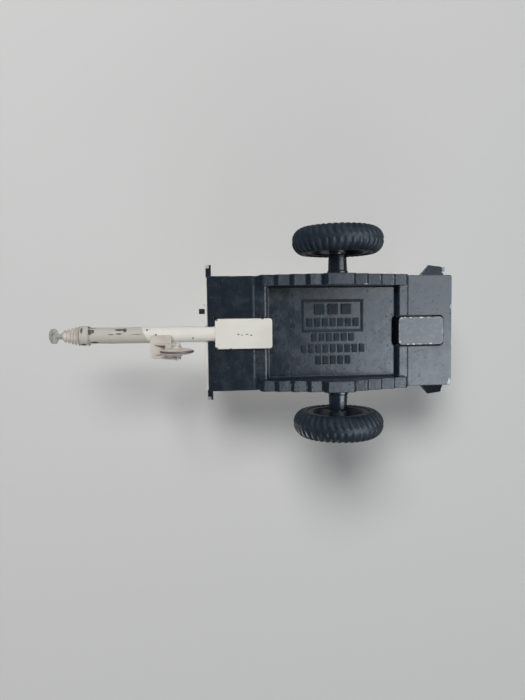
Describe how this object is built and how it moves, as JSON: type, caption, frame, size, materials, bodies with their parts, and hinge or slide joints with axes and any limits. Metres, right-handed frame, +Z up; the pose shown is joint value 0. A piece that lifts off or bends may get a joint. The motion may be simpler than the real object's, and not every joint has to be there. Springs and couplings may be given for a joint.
{
  "type": "model tank trailer",
  "caption": "Die-cast toy road trailer: flat-topped tank on a black belly pan with leaf springs, rubber-tyred wheels, drawbar with tow eye, and a jockey wheel.",
  "frame": {"origin": "centre of the underside of the whole model's box, on the ground", "axes": "+X forward to the tow eye, +Y to the trailer's left, +Z up"},
  "size_m": [0.0762, 0.0374, 0.035],
  "materials": {
    "black_paint": "glossy black enamel, worn at the edges",
    "worn_black": "black enamel rubbed thin to grey metal",
    "cream_paint": "satin cream enamel with small chips",
    "cream_plastic": "satin moulded plastic",
    "black_rim": "moulded black plastic",
    "black_plastic": "moulded black plastic",
    "tyre_rubber": "dusty black rubber",
    "gaiter_rubber": "beige ribbed rubber",
    "dull_zinc": "bare zinc casting gone dull",
    "steel": "plain steel pin",
    "lamp_white": "white lamp lens",
    "lamp_red": "red lamp lens"
  },
  "bodies": {
    "chassis": {"belly_pan": "black_paint", "axle_stub_left": "black_paint", "axle_stub_right": "black_paint", "wheel_pin_left": "steel", "wheel_pin_right": "steel", "drawbar": "cream_paint", "rear_lug": "worn_black", "gaiter": "gaiter_rubber", "tow_eye": "dull_zinc", "jockey_bracket": "cream_plastic", "front_bar": "black_paint", "marker_lamp_left": "lamp_white", "marker_lamp_right": "lamp_white", "tail_lamp_left": "lamp_red", "tail_lamp_right": "lamp_red", "front_apron": "cream_paint", "apron_rivets": "cream_paint", "drain_stub": "black_plastic", "tank_body": "cream_paint", "lid_pin": "steel", "vent_cap": "black_plastic", "roof_rail_left": "black_plastic", "roof_rail_right": "black_plastic", "outlet_cap": "black_plastic"},
    "wheel_left": {"rim_left": "black_rim", "tyre_left": "tyre_rubber"},
    "wheel_right": {"rim_right": "black_rim", "tyre_right": "tyre_rubber"},
    "jockey_leg": {"jockey_leg": "cream_plastic"},
    "jockey_fork": {"jockey_fork": "cream_plastic", "jockey_pin": "steel"},
    "jockey_wheel": {"jockey_disc": "cream_plastic", "jockey_tyre": "cream_plastic"},
    "manhole_lid": {"manhole_lid": "cream_paint"}
  },
  "joints": [
    {"name": "wheel_left_spin", "type": "hinge", "parent": "chassis", "child": "wheel_left", "pos_m": [-0.01444, 0.01647, 0.00825], "axis": [0, 1, 0], "continuous": true},
    {"name": "wheel_right_spin", "type": "hinge", "parent": "chassis", "child": "wheel_right", "pos_m": [-0.01444, -0.01647, 0.00825], "axis": [0, 1, 0], "continuous": true},
    {"name": "jockey_raise", "type": "slide", "parent": "chassis", "child": "jockey_leg", "axis": [0, 0, 1], "range_m": [0, 0.0028]},
    {"name": "jockey_swivel", "type": "hinge", "parent": "jockey_leg", "child": "jockey_fork", "pos_m": [0.01745, -0.00245, 0.0055], "axis": [0, 0, 1], "continuous": true},
    {"name": "jockey_wheel_spin", "type": "hinge", "parent": "jockey_fork", "child": "jockey_wheel", "pos_m": [0.01426, -0.00245, 0.0028], "axis": [0, 1, 0], "continuous": true},
    {"name": "manhole_lid_swing", "type": "hinge", "parent": "chassis", "child": "manhole_lid", "pos_m": [-0.01064, 0, 0.03425], "axis": [0, 1, 0], "range_deg": [0, 100]}
  ]
}
